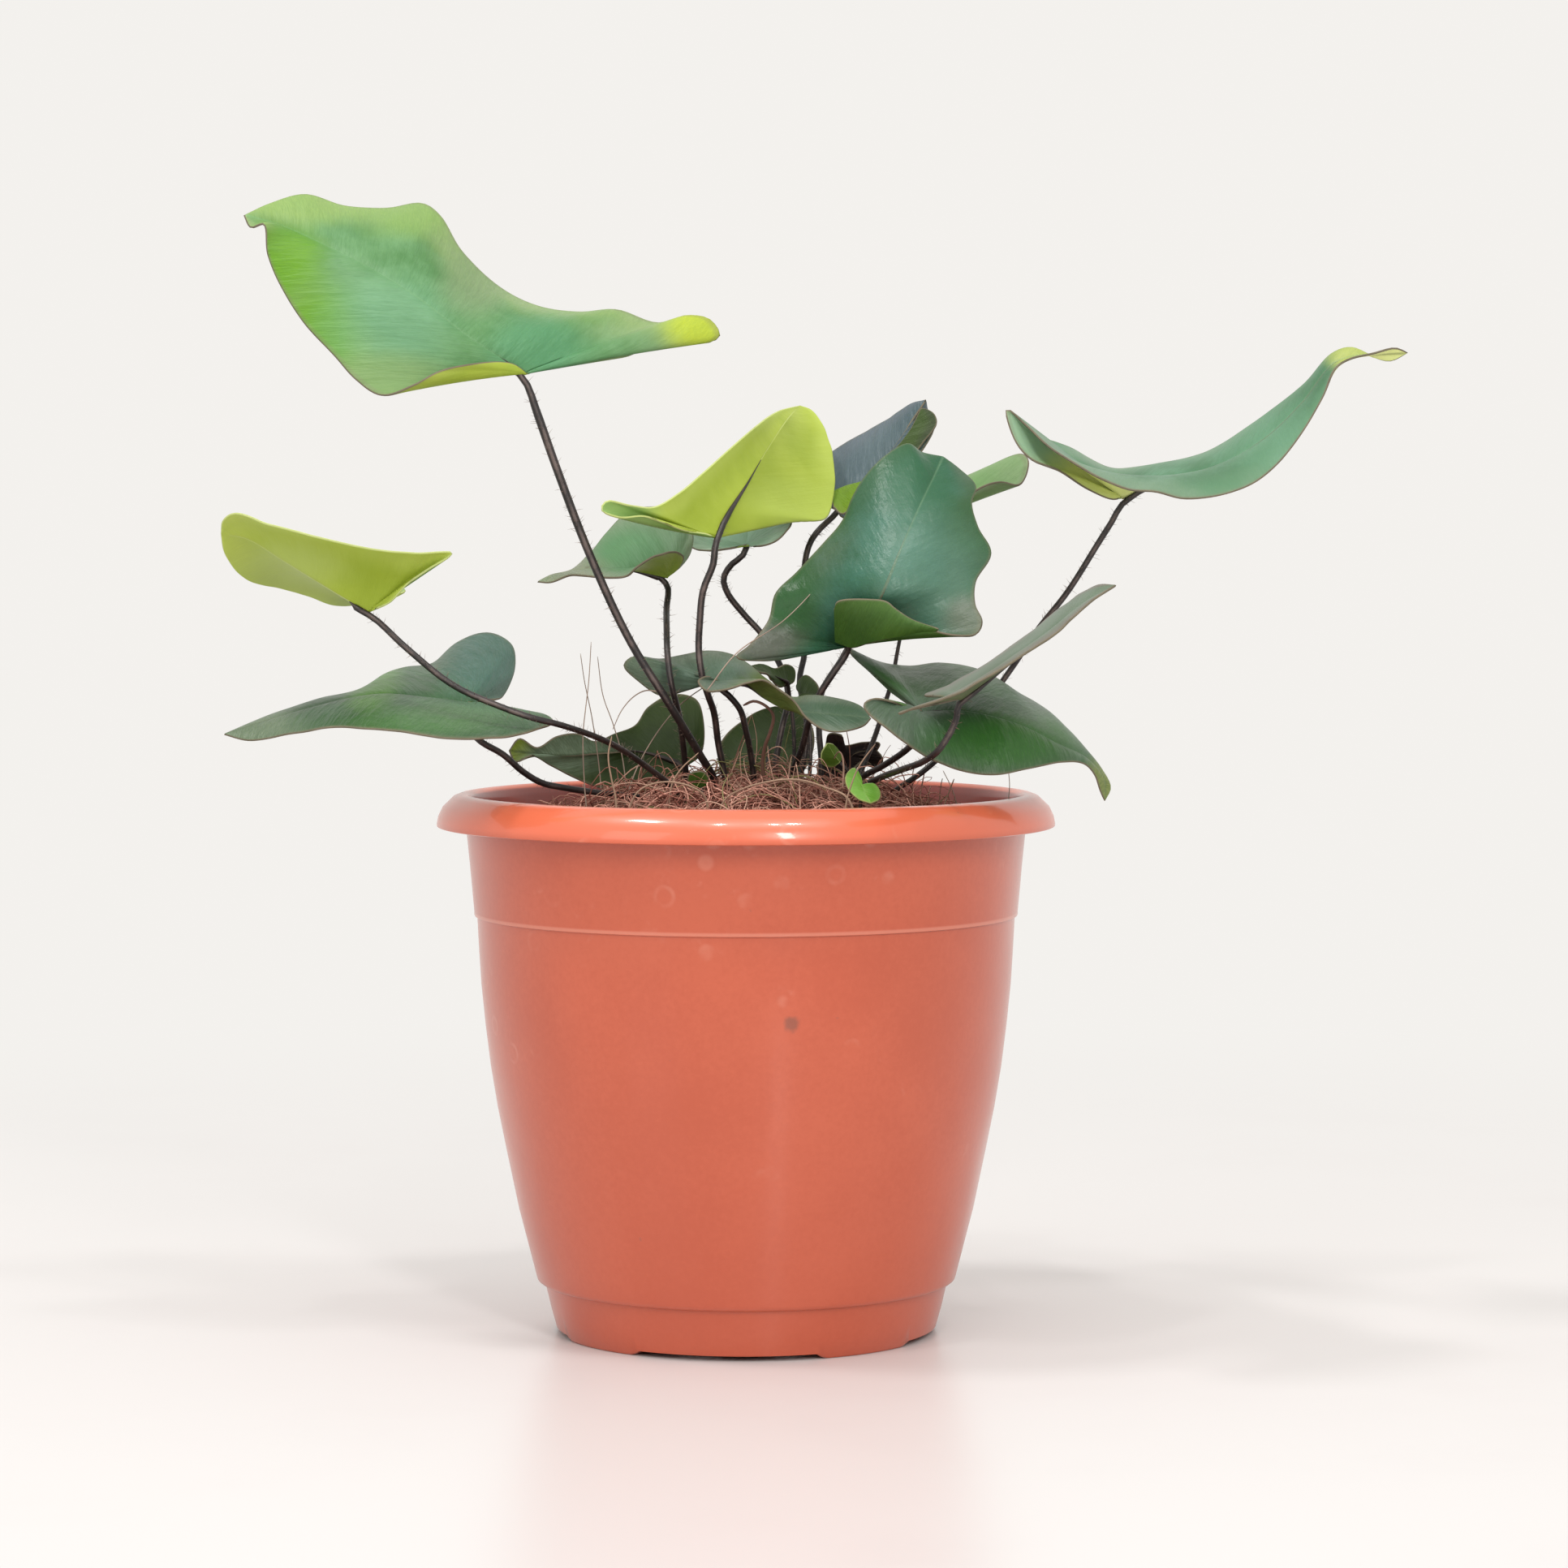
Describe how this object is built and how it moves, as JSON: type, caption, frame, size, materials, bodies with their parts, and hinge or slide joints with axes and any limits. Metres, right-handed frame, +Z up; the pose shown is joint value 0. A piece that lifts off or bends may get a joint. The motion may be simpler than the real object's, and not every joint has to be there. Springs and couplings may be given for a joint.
{
  "type": "potted heart fern",
  "caption": "Heart fern with arrow-shaped fronds on dark stalks, in a round terracotta-coloured plastic nursery pot.",
  "frame": {"origin": "on the pot's axis, in the plane that its feet stand on", "axes": "+Z up along the pot's axis, -Y towards the side that the picture shows, +X to that view's right"},
  "size_m": [0.2392, 0.1345, 0.233],
  "materials": {
    "terracotta_plastic": "semi-gloss",
    "potting_mix": "matte",
    "rootstock": "matte",
    "stipe": "satin",
    "petiole": "matte",
    "straw": "matte",
    "blade_mature": "satin",
    "blade_dark": "satin",
    "blade_grey": "satin",
    "blade_bluish": "satin",
    "blade_olive": "satin",
    "blade_young": "satin",
    "blade_withered": "matte"
  },
  "bodies": {
    "root": {"bent_petiole": "petiole", "blade_back_right": "blade_mature", "blade_back_upright": "blade_bluish", "blade_behind_young": "blade_mature", "blade_big_centre": "blade_dark", "blade_big_low_right": "blade_dark", "blade_centre_left": "blade_grey", "blade_low_back_centre": "blade_olive", "blade_low_back_left": "blade_olive", "blade_low_left": "blade_dark", "blade_low_twisted": "blade_grey", "blade_seedling": "blade_young", "blade_slim_right": "blade_grey", "blade_small_dark": "blade_olive", "blade_small_light": "blade_young", "blade_small_olive": "blade_olive", "blade_tall_left": "blade_mature", "blade_tall_right": "blade_mature", "blade_tiny_leaf": "blade_mature", "blade_withered": "blade_withered", "blade_young_centre": "blade_young", "blade_young_left": "blade_young", "broken_stipe": "stipe", "pot": "terracotta_plastic", "rootstock": "rootstock", "soil": "potting_mix", "stipe_back_right": "stipe", "stipe_back_upright": "stipe", "stipe_behind_young": "stipe", "stipe_big_centre": "stipe", "stipe_big_low_right": "stipe", "stipe_centre_left": "stipe", "stipe_low_back_centre": "stipe", "stipe_low_back_left": "stipe", "stipe_low_left": "stipe", "stipe_low_twisted": "stipe", "stipe_seedling": "stipe", "stipe_slim_right": "stipe", "stipe_small_dark": "stipe", "stipe_small_light": "stipe", "stipe_small_olive": "stipe", "stipe_tall_left": "stipe", "stipe_tall_right": "stipe", "stipe_tiny_leaf": "stipe", "stipe_withered": "stipe", "stipe_young_centre": "stipe", "stipe_young_left": "stipe", "straw_front_arc": "straw", "straw_leaning": "straw", "straw_left_arc": "straw", "straw_pair": "straw", "straw_right": "straw", "straw_upright": "straw"}
  },
  "joints": []
}
